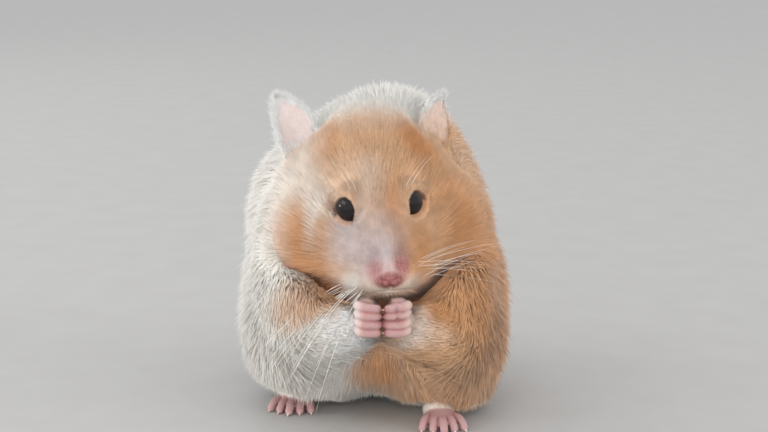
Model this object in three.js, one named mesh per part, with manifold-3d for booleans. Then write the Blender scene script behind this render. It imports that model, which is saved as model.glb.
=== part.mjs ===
// A Syrian hamster that sits up on its haunches with its hands held to its mouth, life size.
// Millimetres, +Z up. The animal faces -Y, its left side is at +X, and the floor is z = 0.
// Each solid reaches to the tips of the coat, so together they give the outline of the furred animal.

import * as THREE from "three";
import { mergeVertices } from "three/addons/utils/BufferGeometryUtils.js";
import Module from "manifold-3d";

const wasm = await Module();
wasm.setup();

// ---------------------------------------------------------------- driving sizes, in mm

const GAP = 0.35; // air left between two neighbouring pieces
const SIDES = { right: -1, left: 1 }; // the animal's own right and left, as signs of X

const BODY_YAW = -10; // degrees the trunk is turned from facing straight along -Y
const HEAD_YAW = 9.8; // the head looks back the other way
const HEAD_PITCH = 22; // nose down
const HEAD_ROLL = -3.5;

const HIP_HALF_WIDTH = 40;
const HIP_HALF_DEPTH = 32;
const SHOULDER_HALF_WIDTH = 34;
const BACK_TOP = 90.5; // the highest point of the back's coat
const HEAD_HALF_WIDTH = 25; // across the cheek fur
const HEAD_AT = [0.3, -12.5, 62];

const NOSE_AT = [-0.4, -25.2, -9.2]; // in the head's frame
const EYE_RADIUS = 4;
const EYE_SPREAD = 8.0; // from the middle between the eyes to the middle of an eyeball
const EYES_AT = [-0.5, -11.6, 4.8]; // the middle between the eyes, in the head's frame
const EAR_LENGTH = 21;
const EAR_SUNK = 4; // how much of that is inside the head's coat
const EAR_WIDTH = 11.8;
const EAR_THICKNESS = 1.6;
const EAR_DRAWN = { right: 5.2, left: 7.5 }; // how far the tip is drawn out to the side
const EAR_FULL = { right: 0.15, left: 0.5 }; // how much fuller the upper half is

const FINGER_RADIUS = 1.25;
const FINGER_COUNT = 4;
const TOE_RADIUS = 1.25;
const TOE_COUNT = 5;
const HIND_FOOT_LENGTH = 19;
const TAIL_LENGTH = 15;

// ---------------------------------------------------------------- frames and rounded masses

// A frame of reference at a point, turned by pitch, roll and yaw in degrees.
function frameAt(at, pitch = 0, roll = 0, yaw = 0) {
  const frame = new THREE.Object3D();
  frame.position.set(...at);
  const [x, y, z] = [pitch, roll, yaw].map(THREE.MathUtils.degToRad);
  frame.rotation.set(x, y, z, "ZYX");
  frame.updateMatrixWorld(true);
  return frame;
}

// A point of a frame, in world coordinates.
const pointIn = (frame, at) => new THREE.Vector3(...at).applyMatrix4(frame.matrixWorld);

// One rounded mass: an ellipsoid that melts into its neighbours over the distance `blend`.
function mass(frame, at, radii, blend) {
  const place = new THREE.Matrix4().makeTranslation(...at).premultiply(frame.matrixWorld);
  return { inward: place.invert(), radii: new THREE.Vector3(...radii), blend };
}

// A mass stretched from one point to another, such as a forearm.
function limb(from, to, thickness, blend) {
  const [a, b] = [new THREE.Vector3(...from), new THREE.Vector3(...to)];
  const along = b.clone().sub(a);
  const turn = new THREE.Quaternion().setFromUnitVectors(
    new THREE.Vector3(0, 0, 1),
    along.clone().normalize(),
  );
  const middle = a.clone().add(b).multiplyScalar(0.5);
  const place = new THREE.Matrix4().compose(middle, turn, new THREE.Vector3(1, 1, 1));
  const radii = new THREE.Vector3(thickness, thickness, along.length() / 2 + thickness * 0.7);
  return { inward: place.invert(), radii, blend };
}

// How far a point is outside (positive) or inside (negative) one mass, nearly.
function depthIn({ inward, radii }, point) {
  const p = point.clone().applyMatrix4(inward).divide(radii);
  const far = p.length();
  const slope = p.divide(radii).length();
  return slope < 1e-9 ? -Math.min(...radii) : (far * (far - 1)) / slope;
}

// The lesser of two distances, rounded where they are within `blend` of each other.
function softMin(a, b, blend) {
  const near = Math.max(blend - Math.abs(a - b), 0) / blend;
  return Math.min(a, b) - (near * near * blend) / 4;
}

// The field of several masses melted together, one after another, onto a first field.
const melted = (masses, onto = () => Infinity) => (point) =>
  masses.reduce((d, m) => softMin(d, depthIn(m, point), m.blend), onto(point));

// Two fields melted together over the distance `blend`.
const joined = (one, other, blend) => (point) => softMin(one(point), other(point), blend);

// ---------------------------------------------------------------- solids

// A closed three.js geometry with its shared vertices merged.
function welded(geometry) {
  geometry.deleteAttribute("normal");
  geometry.deleteAttribute("uv");
  return mergeVertices(geometry, 1e-4);
}

function solidOf(geometry) {
  return new wasm.Manifold(
    new wasm.Mesh({
      numProp: 3,
      vertProperties: geometry.getAttribute("position").array,
      triVerts: new Uint32Array(geometry.index.array),
    }),
  );
}

// Moves every vertex of a geometry to where `place` sends it.
function reshaped(geometry, place) {
  const shape = welded(geometry);
  const position = shape.getAttribute("position");
  const point = new THREE.Vector3();
  for (let i = 0; i < position.count; i++) {
    place(point.fromBufferAttribute(position, i));
    position.setXYZ(i, point.x, point.y, point.z);
  }
  return shape;
}

// Swells a ball at `centre` outwards until it meets the field's surface `level` mm out.
function swell(field, centre, detail, level = 0) {
  const reachMost = 110;
  const step = 1.5;
  return solidOf(
    reshaped(new THREE.IcosahedronGeometry(1, detail), (point) => {
      const way = point.clone().normalize();
      const outside = (r) => field(centre.clone().addScaledVector(way, r)) > level;
      let near = 0;
      while (near < reachMost && !outside(near + step)) near += step;
      let far = near + step;
      for (let i = 0; i < 14; i++) {
        const middle = (near + far) / 2;
        if (outside(middle)) far = middle;
        else near = middle;
      }
      point.copy(centre).addScaledVector(way, near);
    }),
  );
}

// A round-ended rod along a curve, from one radius to another, such as a toe.
function sausage(curve, startRadius, endRadius, around = 6, along = 5) {
  return solidOf(
    reshaped(new THREE.SphereGeometry(1, around, along), (point) => {
      const t = (1 - point.y) / 2;
      const spread = Math.hypot(point.x, point.z);
      const radius = THREE.MathUtils.lerp(startRadius, endRadius, t) * spread ** 0.45;
      const ahead = curve.getTangent(t);
      const side = new THREE.Vector3(0, 0, 1).cross(ahead).normalize();
      const up = ahead.clone().cross(side);
      const turn = Math.atan2(point.x, point.z);
      const offset = side.multiplyScalar(Math.sin(turn)).addScaledVector(up, Math.cos(turn));
      point.copy(curve.getPoint(t)).addScaledVector(offset, spread > 1e-6 ? radius : 0);
    }),
  );
}

// A box that holds everything under the floor.
const underFloor = solidOf(
  welded(new THREE.BoxGeometry(400, 400, 100).translate(0, 0, -50)),
);

// ---------------------------------------------------------------- the furred body as one field

const body = frameAt([0, 0, 0], 0, 0, BODY_YAW);
const head = frameAt(HEAD_AT, HEAD_PITCH, HEAD_ROLL, HEAD_YAW);

const HANDS_MEET_AT = 2.9; // the x where the fingertips of both hands touch
const arms = {
  right: { shoulder: [-21, -12, 41], elbow: [-17, -24, 25.5], wrist: [-1.6, -35.5, 30.5] },
  left: { shoulder: [23, -14, 41], elbow: [22, -26, 25], wrist: [7.3, -35.5, 30.5] },
};

const trunkMasses = [
  mass(body, [-1.9, 12, 34.5], [HIP_HALF_WIDTH, HIP_HALF_DEPTH, 34.5], 10),
  mass(body, [-1, 22, 22], [27, 21, 23.5], 8),
  mass(body, [-4, 6, 55], [SHOULDER_HALF_WIDTH, 28, 29], 10),
  mass(body, [3.5, 11, 64], [22, 22, BACK_TOP - 64], 10),
];
const chest = mass(body, [-1, -14.5, 30], [24, 17, 20], 9);

const thighs = Object.entries(SIDES).map(([side, s]) => ({
  side,
  middle: pointIn(body, [s * 22 + 2, -7, 17]),
  mass: mass(body, [s * 22 + 2, -7, 18], [15, 19, 17.5], 11),
  block: mass(body, [s * 26.5 + 1.5, -11, 14], [18, 21, 19], 0.1),
}));

const armMasses = Object.values(arms).flatMap(({ shoulder, elbow, wrist }) => [
  limb(shoulder, elbow, 8, 9),
  limb(elbow, wrist, 6, 7),
]);

const headMasses = [
  mass(head, [0, 4, 3], [18.5, 18, 17.5], 6),
  mass(head, [0, -12, -4.5], [11, 14.5, 9.5], 7),
  mass(head, [-0.4, -16.5, -13.6], [8, 8.5, 6], 5),
  mass(head, NOSE_AT, [3.8, 3.4, 3.2], 3),
  ...Object.values(SIDES).flatMap((s) => [
    mass(head, [s * (HEAD_HALF_WIDTH - 13.5), -4.5, -9], [13.5, 14, 12.5], 8),
    mass(head, [s * 5.0, -18, -10.2], [6.4, 7.2, 6.4], 6),
  ]),
];

// The head's fur and the trunk's run into one another over the neck.
const NECK_BLEND = 12;
const neckAndTrunk = joined(melted(trunkMasses), melted(headMasses), NECK_BLEND);
const coat = melted([chest, ...thighs.map((thigh) => thigh.mass), ...armMasses], neckAndTrunk);

// ---------------------------------------------------------------- the pieces

// A piece of the body: what the coat's surface encloses inside a block of its own.
function pieceOf(blockField, centre, detail, blockDetail) {
  return {
    solid: swell(coat, centre, detail).intersect(swell(blockField, centre, blockDetail)),
    grown: swell(blockField, centre, blockDetail, GAP),
  };
}

// An ear: a cupped leaf whose tip is drawn out towards the side.
const ears = {
  right: frameAt([-20.3, -5, 72.2], -3, -3, HEAD_YAW - 16),
  left: frameAt([16.6, -6.5, 72.6], -12, 4, HEAD_YAW + 32),
};

function makeEar(side, s) {
  return solidOf(
    reshaped(new THREE.SphereGeometry(1, 14, 9).rotateX(Math.PI / 2), (point) => {
      const { x, y, z } = point;
      const high = (z + 1) / 2;
      const wide = ((x * EAR_WIDTH) / 2) * (1 + EAR_FULL[side] * high ** 3);
      const drawn = s * EAR_DRAWN[side] * high ** 4;
      const cup = -0.06 * wide * wide;
      point.set(wide + drawn, (y * EAR_THICKNESS) / 2 + cup, high * EAR_LENGTH - EAR_SUNK);
      point.applyMatrix4(ears[side].matrixWorld);
    }),
  );
}

function makeEye(s, radius) {
  const middle = pointIn(head, [EYES_AT[0] + s * EYE_SPREAD, EYES_AT[1], EYES_AT[2]]);
  return solidOf(
    reshaped(new THREE.SphereGeometry(radius, 12, 8), (point) => point.add(middle)),
  );
}

// A hand: a palm with four fingers stacked one over the other, curled towards the other hand.
function makeHand(side, s) {
  const [x, y, z] = arms[side].wrist;
  const palm = frameAt([x, y - 2.3, z + 3.4]);
  let hand = swell(melted([mass(palm, [0, 0, 0], [3.6, 3.6, 5.0], 1)]), palm.position, 2);
  for (let i = 0; i < FINGER_COUNT; i++) {
    const high = (i - (FINGER_COUNT - 1) / 2) * FINGER_RADIUS * 1.95;
    const knuckle = pointIn(palm, [s * 2.4, -1.5, high]);
    const bend = pointIn(palm, [s * 1.2, -5.8, high * 1.05]);
    const tip = pointIn(palm, [-s * 4.6, -4.2, high * 0.95]);
    const bone = new THREE.QuadraticBezierCurve3(knuckle, bend, tip);
    hand = hand.add(sausage(bone, FINGER_RADIUS * 1.12, FINGER_RADIUS * 0.9, 6, 4));
  }
  return hand;
}

// A hind foot: a flat sole with five splayed toes.
function makeFoot(at, yaw) {
  const foot = frameAt(at, 0, 0, yaw);
  const soleHigh = 3.2;
  let made = swell(
    melted([
      mass(foot, [0, 2, soleHigh / 2], [4.4, HIND_FOOT_LENGTH / 2 - 2, soleHigh], 1),
      mass(foot, [0, -2.5, soleHigh / 2], [5, 4.5, soleHigh], 1),
    ]),
    pointIn(foot, [0, 0, soleHigh / 2]),
    2,
  );
  for (let i = 0; i < TOE_COUNT; i++) {
    const across = i - (TOE_COUNT - 1) / 2;
    const short = Math.abs(across) * 1.1;
    const knuckle = pointIn(foot, [across * 1.9, -4 + short * 0.7, 2.4]);
    const bend = pointIn(foot, [across * 2.5, -8.2 + short, 3.1]);
    const tip = pointIn(foot, [across * 2.9, -10.6 + short * 1.2, TOE_RADIUS * 0.8]);
    const bone = new THREE.QuadraticBezierCurve3(knuckle, bend, tip);
    made = made.add(sausage(bone, TOE_RADIUS * 1.1, TOE_RADIUS * 0.95));
  }
  return made;
}

function makeTail() {
  const root = pointIn(body, [0, 36, 9]);
  const bend = pointIn(body, [0, 44, 6]);
  const tip = pointIn(body, [-1, 36 + TAIL_LENGTH, 6]);
  return sausage(new THREE.QuadraticBezierCurve3(root, bend, tip), 2.8, 1.5, 8, 6);
}

// A box that holds everything beyond the plane where the two hands meet.
function otherSide(s) {
  const box = new THREE.BoxGeometry(200, 200, 200);
  return solidOf(welded(box.translate(HANDS_MEET_AT - s * (100 - GAP / 2), 0, 0)));
}

const solids = {};

// The head, with a socket for each eye. Its nose pad is a piece of its own.
const headMiddle = pointIn(head, [0, 0, 0]);
const headBlock = melted([mass(head, [0, -6, 0], [34, 30, 26], 1)]);
const headPiece = pieceOf(headBlock, headMiddle, 6, 3);
const noseMiddle = pointIn(head, NOSE_AT);
const noseBlock = melted([mass(head, [NOSE_AT[0], NOSE_AT[1] - 2.5, NOSE_AT[2]], [3.4, 3.2, 2.7], 1)]);
const nosePiece = pieceOf(noseBlock, noseMiddle, 2, 2);
solids.nose = nosePiece.solid;
solids.head = headPiece.solid.subtract(nosePiece.grown);

const coatNear = swell(coat, headMiddle, 5, GAP);
for (const [side, s] of Object.entries(SIDES)) {
  solids[`eye_${side}`] = makeEye(s, EYE_RADIUS);
  solids.head = solids.head.subtract(makeEye(s, EYE_RADIUS + GAP));
  solids[`ear_${side}`] = makeEar(side, s).subtract(coatNear);
}

// The forelegs and thighs are parted from the trunk in the same way as the head.
let trunk = swell(coat, pointIn(body, [0, 6, 42]), 6).subtract(headPiece.grown);
for (const [side, { shoulder, elbow, wrist }] of Object.entries(arms)) {
  const block = melted([limb(shoulder, elbow, 12, 6), limb(elbow, wrist, 9.5, 6)]);
  const piece = pieceOf(block, new THREE.Vector3(...elbow), 5, 3);
  const across = otherSide(SIDES[side]);
  solids[`foreleg_${side}`] = piece.solid.subtract(headPiece.grown).subtract(across);
  trunk = trunk.subtract(piece.grown);
}
for (const { side, middle, block } of thighs) {
  const piece = pieceOf(melted([block]), middle, 4, 3);
  solids[`hind_leg_${side}`] = piece.solid;
  for (const other of Object.keys(SIDES)) {
    const foreleg = solids[`foreleg_${other}`];
    solids[`foreleg_${other}`] = foreleg.subtract(piece.grown);
  }
  trunk = trunk.subtract(piece.grown);
}

const feetAt = { right: [[-22, -8, 0], -10], left: [[19, -25, 0], 4] };
for (const [side, s] of Object.entries(SIDES)) {
  const wrist = new THREE.Vector3(...arms[side].wrist);
  const elbow = new THREE.Vector3(...arms[side].elbow);
  const nearArm = swell(coat, elbow.lerp(wrist, 0.5), 5, GAP);
  const hand = makeHand(side, s).subtract(otherSide(s));
  solids[`hand_${side}`] = hand.subtract(nearArm).subtract(coatNear);
  const nearThigh = swell(coat, thighs.find((t) => t.side === side).middle, 5, GAP);
  solids[`hind_foot_${side}`] = makeFoot(...feetAt[side]).subtract(nearThigh);
}
solids.tail = makeTail().subtract(swell(coat, pointIn(body, [0, 20, 20]), 5, GAP));
solids.trunk = trunk;

// ---------------------------------------------------------------- colours and the finished group

const finishes = {
  apricot_fur: { color: 0xd9a877, roughness: 0.85, metalness: 0 },
  cream_fur: { color: 0xe6dccb, roughness: 0.85, metalness: 0 },
  ear_skin: { color: 0xd3b6ad, roughness: 0.7, metalness: 0 },
  pink_skin: { color: 0xd99d98, roughness: 0.55, metalness: 0 },
  nose_skin: { color: 0xc98783, roughness: 0.5, metalness: 0 },
  black_eye: { color: 0x0b0a0a, roughness: 0.05, metalness: 0 },
};
const finishOf = {
  head: "apricot_fur",
  trunk: "apricot_fur",
  foreleg: "cream_fur",
  hind_leg: "cream_fur",
  ear: "ear_skin",
  eye: "black_eye",
  nose: "nose_skin",
  hand: "pink_skin",
  hind_foot: "pink_skin",
  tail: "pink_skin",
};

function meshOf(name, solid) {
  const { numProp, numVert, vertProperties, triVerts } = solid.getMesh();
  const positions = new Float32Array(numVert * 3);
  for (let i = 0; i < numVert; i++)
    positions.set(vertProperties.subarray(i * numProp, i * numProp + 3), i * 3);
  const geometry = new THREE.BufferGeometry()
    .setAttribute("position", new THREE.BufferAttribute(positions, 3))
    .setIndex(new THREE.BufferAttribute(triVerts, 1));
  const finish = finishes[finishOf[name.replace(/_(left|right)$/, "")]];
  const mesh = new THREE.Mesh(geometry, new THREE.MeshStandardMaterial(finish));
  mesh.name = name;
  return mesh;
}

// The largest body of a solid: cuts can leave slivers beside it.
const largest = (solid) =>
  solid.decompose().reduce((a, b) => (b.volume() > a.volume() ? b : a));

const hamster = new THREE.Group();
for (const [name, solid] of Object.entries(solids))
  hamster.add(meshOf(name, largest(solid.subtract(underFloor))));

// The origin is on the floor, under the middle of the whole.
const middle = new THREE.Box3().setFromObject(hamster).getCenter(new THREE.Vector3());
hamster.position.set(-middle.x, -middle.y, 0);

export default hamster;
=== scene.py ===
"""A Syrian hamster that sits up with its hands at its mouth: skin, eyes, claws, whiskers and coat."""

import math

import bmesh
import bpy
import numpy as np
from mathutils import Matrix, Vector, kdtree


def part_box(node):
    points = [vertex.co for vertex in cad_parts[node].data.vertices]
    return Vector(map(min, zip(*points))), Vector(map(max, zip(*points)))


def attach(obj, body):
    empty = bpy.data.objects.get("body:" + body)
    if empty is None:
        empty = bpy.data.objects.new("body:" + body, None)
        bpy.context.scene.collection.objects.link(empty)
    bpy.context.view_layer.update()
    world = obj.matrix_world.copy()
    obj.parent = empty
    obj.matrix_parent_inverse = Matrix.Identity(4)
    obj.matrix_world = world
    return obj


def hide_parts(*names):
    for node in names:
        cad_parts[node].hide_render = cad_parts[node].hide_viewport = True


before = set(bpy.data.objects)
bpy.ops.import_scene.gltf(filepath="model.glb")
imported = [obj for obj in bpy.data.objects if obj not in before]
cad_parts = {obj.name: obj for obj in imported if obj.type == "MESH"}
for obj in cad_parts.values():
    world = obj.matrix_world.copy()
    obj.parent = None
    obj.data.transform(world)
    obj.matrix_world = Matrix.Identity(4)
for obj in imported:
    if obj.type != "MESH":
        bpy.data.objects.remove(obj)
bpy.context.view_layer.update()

bl_info = {
    "name": "Sitting Hamster",
    "version": (1, 0, 0),
    "blender": (4, 2, 0),
    "location": "3D View > Sidebar > Hamster",
    "description": "Builds a furred hamster over its solids, with eyes, claws, whiskers and a stage",
    "category": "Add Mesh",
}

MM = 0.001
LEAST_SLOPE = 0.05  # keeps steps towards the skin short where its field is flat
SKIN_LOW, COAT_LOW, CLAW_LOW = 0.04, 0.05, 0.2  # lowest heights over the floor, in millimetres
IMAGE_WIDTH = 768
FOCAL_LENGTH = 1700  # in pixels of the rendered image
CAMERA_AT, CAMERA_DOWN = (3.2, -483.0, 148.0), 11  # in millimetres, and degrees below level

# ------------------------------------------------------------------ the drawing, in millimetres
# The same frames and masses as the solids. The animal faces -Y and its left side is at +X.


class Place:
    """A frame of the drawing: a point, and a turn about X, then Y, then Z in degrees."""

    def __init__(self, at, pitch=0, roll=0, yaw=0):
        self.at = np.array(at, float)
        turns = zip((yaw, roll, pitch), "ZYX")
        z, y, x = (Matrix.Rotation(math.radians(angle), 3, axis) for angle, axis in turns)
        self.turn = np.array(z @ y @ x)

    def point(self, at):
        return self.turn @ np.array(at, float) + self.at

    def inward(self, points):
        return (points - self.at) @ self.turn


BODY = Place((0, 0, 0), yaw=-10)
HEAD_YAW = 9.8
HEAD = Place((0.3, -12.5, 62), 22, -3.5, HEAD_YAW)
SIDES = {"right": -1, "left": 1}

EYES_AT = (-0.5, -11.6, 4.8)  # the middle between the eyes, in the head's frame
EYE_SPREAD = 8.0
GAZE_ASIDE, GAZE_RAISED = 47, 9  # degrees from straight ahead
LID_BALL, ROUGH_LID_BALL = 4.42, 4.4  # radius of the skin over the eyes
LID_MELT, LID_NEAR = 2.6, 12
LID_THICKNESS, LID_RIM, SOCKET_DEPTH = 0.28, 0.16, 0.7  # measured from the eyeball
EYES_IN_HEAD = {side: np.array((s * EYE_SPREAD, 0, 0)) + EYES_AT for side, s in SIDES.items()}
EYES = {side: HEAD.point(at) for side, at in EYES_IN_HEAD.items()}
NOSE_AT = (-0.4, -25.2, -9.2)
NOSE = HEAD.point(NOSE_AT)
COMBED_FROM = np.array((3.0, -19.0, 75.0))  # in the head: the fur of the trunk lies away from here
HIPS = {side: BODY.point((s * 18 + 2, 12, 40)) for side, s in SIDES.items()}
ARMS = {
    "right": {"shoulder": (-21, -12, 41), "elbow": (-17, -24, 25.5), "wrist": (-1.6, -35.5, 30.5)},
    "left": {"shoulder": (23, -14, 41), "elbow": (22, -26, 25), "wrist": (7.3, -35.5, 30.5)},
}
HANDS_MEET_AT = 2.9
FEET = {"right": Place((-22, -8, 0), yaw=-10), "left": Place((19, -25, 0), yaw=4)}
EARS = {
    "right": Place((-20.3, -5, 72.2), -3, -3, HEAD_YAW - 16),
    "left": Place((16.6, -6.5, 72.6), -12, 4, HEAD_YAW + 32),
}
EAR_LENGTH, EAR_SUNK, EAR_WIDTH = 21.0, 4.0, 11.8
EAR_DRAWN = {"right": 5.2, "left": 7.5}  # how far the tip is drawn out to the side
EAR_CUP = 0.06  # depth of the hollow over the square of the distance across
ROUGH_EAR_DRAWN, ROUGH_EAR_HALF = 5.5, 0.55
ROUGH_GRAIN, ROUGH_INSET = 1.0, 0.3  # the inset is a share of the coat's depth
EAR_FULL = {"right": 0.15, "left": 0.5}  # how much fuller the upper half is

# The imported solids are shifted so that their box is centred: an eyeball's middle tells by how much.
SHIFT = sum(map(np.array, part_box("eye_right"))) / 2 / MM - EYES["right"]


def smooth_step(low, high, value):
    t = np.clip((np.asarray(value, float) - low) / (high - low), 0, 1)
    return t * t * (3 - 2 * t)


def soft_min(a, b, melt):
    near = np.maximum(melt - np.abs(a - b), 0) / melt
    return np.minimum(a, b) - near * near * melt / 4


def unit(vectors):
    return vectors / np.maximum(np.linalg.norm(vectors, axis=-1, keepdims=True), 1e-9)


# kind: hair length, tuft width, tufts per square mm, lift at the root and at the tip in degrees
FUR = {
    "back": (11.0, 0.35, 5.1, 42, 16),
    "chest": (8.5, 0.28, 9.0, 42, 16),
    "thigh": (10.5, 0.32, 6.1, 42, 16),
    "upper_arm": (7.5, 0.29, 7.4, 38, 13),
    "forearm": (5.0, 0.25, 9.6, 34, 12),
    "crown": (6.0, 0.24, 21.0, 34, 13),
    "cheek": (8.0, 0.26, 14.0, 42, 18),
    "muzzle": (3.0, 0.18, 38.0, 30, 11),
    "chin": (2.0, 0.17, 28.0, 26, 9),
    "nose": (1.1, 0.13, 14.0, 30, 10),
    "hand": (2.2, 0.14, 20.0, 32, 12),
    "foot": (2.6, 0.16, 20.0, 34, 12),
    "bare": (0.7, 0.11, 2.0, 30, 10),
    "ear": (2.0, 0.13, 26.0, 30, 14),
}


def near_floor(points):
    """The share of its full length that the coat has: the belly's is short where it meets the floor."""
    return 0.3 + 0.7 * smooth_step(0, 15, points[:, 2])


class Mass:
    """One rounded mass of flesh: an ellipsoid under `coat` mm of fur that melts into its neighbours."""

    def __init__(self, kind, place, at, radii, melt, coat, way=None):
        self.kind, self.melt, self.coat = kind, melt, coat
        self.middle, self.turn, self.radii = place.point(at), place.turn, np.array(radii, float)
        self.way = way  # gives the way the hair lies at each of an array of points

    def reach(self, points):
        """How far points are outside (positive) or inside (negative) the furred mass, nearly."""
        q = ((points - self.middle) @ self.turn) / self.radii
        far = np.sqrt((q * q).sum(1))
        q = q / self.radii
        slope = np.sqrt((q * q).sum(1))
        return far * (far - 1) / np.maximum(slope, 1e-9)

    def skin_reach(self, points):
        """The same for the skin under that fur."""
        return self.reach(points) + self.coat * near_floor(points)


def limb(kind, start, end, thickness, melt, coat):
    """A mass stretched from one point to another."""
    start, end = np.array(start, float), np.array(end, float)
    along = Vector(end - start)
    place = Place((start + end) / 2)
    place.turn = np.array(Vector((0, 0, 1)).rotation_difference(along).to_matrix())
    radii = (thickness, thickness, along.length / 2 + thickness * 0.7)
    along = unit(end - start)
    return Mass(kind, place, (0, 0, 0), radii, melt, coat, lambda p: np.tile(along, (len(p), 1)))


def head_way(points):
    return unit(points - NOSE) + HEAD.turn @ np.array((0, 0.25, 0.05))


def trunk_way(points):
    return unit(points - COMBED_FROM) + np.array((0, 0, -0.3))


def thigh(side, s):
    hip = HIPS[side]
    at, radii = (s * 22 + 2, -7, 18), (15, 19, 17.5)
    return Mass("thigh", BODY, at, radii, 11, 5.6, lambda p: unit(p - hip) + np.array((0, 0, -0.4)))


def arm(side):
    at = ARMS[side]
    upper = limb("upper_arm", at["shoulder"], at["elbow"], 8.0, 9, 4.2)
    return [upper, limb("forearm", at["elbow"], at["wrist"], 6.0, 7, 2.6)]


# The masses of the solids, each under its depth of coat, in the same order.
TRUNK = [
    Mass("back", BODY, (-1.9, 12, 34.5), (40, 32, 34.5), 10, 6.0, trunk_way),
    Mass("back", BODY, (-1, 22, 22), (27, 21, 23.5), 8, 6.0, trunk_way),
    Mass("back", BODY, (-4, 6, 55), (34, 28, 29), 10, 6.0, trunk_way),
    Mass("back", BODY, (3.5, 11, 64), (22, 22, 26.5), 10, 6.0, trunk_way),
]
FACE = [
    Mass("crown", HEAD, (0, 4, 3), (18.5, 18, 17.5), 6, 2.8, head_way),
    Mass("muzzle", HEAD, (0, -12, -4.5), (11, 14.5, 9.5), 7, 1.3, head_way),
    Mass("chin", HEAD, (-0.4, -16.5, -13.6), (8, 8.5, 6), 5, 1.5, head_way),
    Mass("nose", HEAD, NOSE_AT, (3.8, 3.4, 3.2), 3, 0.4, head_way),
]
for s in SIDES.values():
    FACE.append(Mass("cheek", HEAD, (s * 11.5, -4.5, -9), (13.5, 14, 12.5), 8, 3.8, head_way))
    FACE.append(Mass("muzzle", HEAD, (s * 5.0, -18, -10.2), (6.4, 7.2, 6.4), 6, 1.2, head_way))
CHEST = Mass("chest", BODY, (-1, -14.5, 30), (24, 17, 20), 9, 4.6, trunk_way)
LIMBS = [thigh(side, s) for side, s in SIDES.items()] + arm("right") + arm("left")
FLESH = [*TRUNK, *FACE, CHEST, *LIMBS]
NECK_MELT = 12
# The skin's folds are filled by this many times the depth of the coat. Less than 4 keeps the skin
# inside the solids.
TRUNK_FILL, BODY_FILL, FACE_FILL = 0.2, 1.6, 0.5


ROD_MELT = 0.45  # between neighbouring fingers or toes


class Rods:
    """Bare or thinly haired fingers, toes or a tail: bent rods with round ends, on a palm or sole."""

    def __init__(self, middle, size, melt, base, rods, kind, direction, furred=0):
        self.middle, self.size, self.melt = np.array(middle, float), size, melt
        self.furred = furred  # how many of the base's masses have no bare skin
        self.base, self.rods, self.kind = base, rods, kind
        self.direction = unit(np.array(direction, float))

    def rod_reach(self, rod, points):
        path, start, end = rod
        best = np.full(len(points), 1e3)
        for i in range(len(path) - 1):
            a, b = path[i], path[i + 1]
            t = np.clip(((points - a) @ (b - a)) / ((b - a) @ (b - a)), 0, 1)
            radius = start + (end - start) * (i + t) / (len(path) - 1)
            best = np.minimum(best, np.linalg.norm(points - a - t[:, None] * (b - a), axis=1) - radius)
        return best

    def reaches(self, points):
        """The reach of the palm or sole, then of each rod, as columns."""
        bases = [m.reach(points) for m in self.base]
        return np.array(bases + [self.rod_reach(rod, points) for rod in self.rods]).T

    def reach(self, points):
        columns = self.reaches(points).T
        total = columns[0]
        for i, column in enumerate(columns[1:], 1):
            total = soft_min(total, column, self.base[i].melt if i < len(self.base) else ROD_MELT)
        return total


def bent(start, bend, end, steps=6):
    """Points along a curve that is pulled towards `bend`."""
    t = np.linspace(0, 1, steps + 1)[:, None]
    return (1 - t) ** 2 * np.array(start) + 2 * t * (1 - t) * np.array(bend) + t**2 * np.array(end)


FINGER_COUNT, TOE_COUNT = 4, 5
FINGER_RADIUS, TOE_RADIUS = 1.22, 1.2
FINGER_SPACING = 2.36


def hand(side, s):
    x, y, z = ARMS[side]["wrist"]
    palm = Place((x, y - 2.3, z + 3.4))
    base = [
        Mass("hand", palm, (0, 0.3, 0), (3.3, 3.2, 5.0), 1, 0),
        Mass("hand", palm, (s * 0.6, 2.6, -2.6), (3.4, 3.6, 3.8), 2, 0),
    ]
    rods = []
    for i in range(FINGER_COUNT):
        high = (i - (FINGER_COUNT - 1) / 2) * FINGER_SPACING
        short = abs(i - 1.4) * 0.35
        knuckle = palm.point((s * 2.2, -1.4, high * 0.95))
        bend = palm.point((s * 1.3, -6.0 + short, high * 1.04))
        tip = palm.point((-s * (3.2 - short * 0.4), -4.4, high * 0.93 - 0.2))
        rods.append((bent(knuckle, bend, tip), FINGER_RADIUS * 1.08, FINGER_RADIUS * 0.92))
    return Rods(palm.at, 12, 1.2, base, rods, "hand", (-s * 0.35, -1, 0.25))


def foot(side):
    place = FEET[side]
    base = [
        Mass("foot", place, (0, 4.5, 4.2), (4.2, 6.0, 4.6), 4, 0),
        Mass("foot", place, (0, 2, 1.5), (4.0, 7.4, 2.9), 3, 0),
        Mass("foot", place, (0, -2.5, 1.5), (4.7, 4.4, 2.8), 1, 0),
    ]
    rods = []
    for i in range(TOE_COUNT):
        across = i - (TOE_COUNT - 1) / 2
        short = abs(across) * 1.1
        knuckle = place.point((across * 1.9, -4 + short * 0.7, 2.2))
        bend = place.point((across * 2.5, -8.2 + short, 3.2))
        tip = place.point((across * 2.9, -10.8 + short * 1.2, TOE_RADIUS * 0.8))
        rods.append((bent(knuckle, bend, tip), TOE_RADIUS * 1.08, TOE_RADIUS * 0.9))
    return Rods(place.point((0, -2, 1)), 17, 1.5, base, rods, "foot", place.turn @ (0, -1, 0), 1)


def tail():
    root, bend, tip = (BODY.point(p) for p in ((0, 34, 9), (0, 43, 6), (-1, 50.5, 6)))
    base = [Mass("bare", Place(root), (0, 0, 0), (3, 3, 3), 1, 0)]
    return Rods(bend, 16, 3, base, [(bent(root, bend, tip), 2.2, 1.15)], "bare", tip - root)


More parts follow.
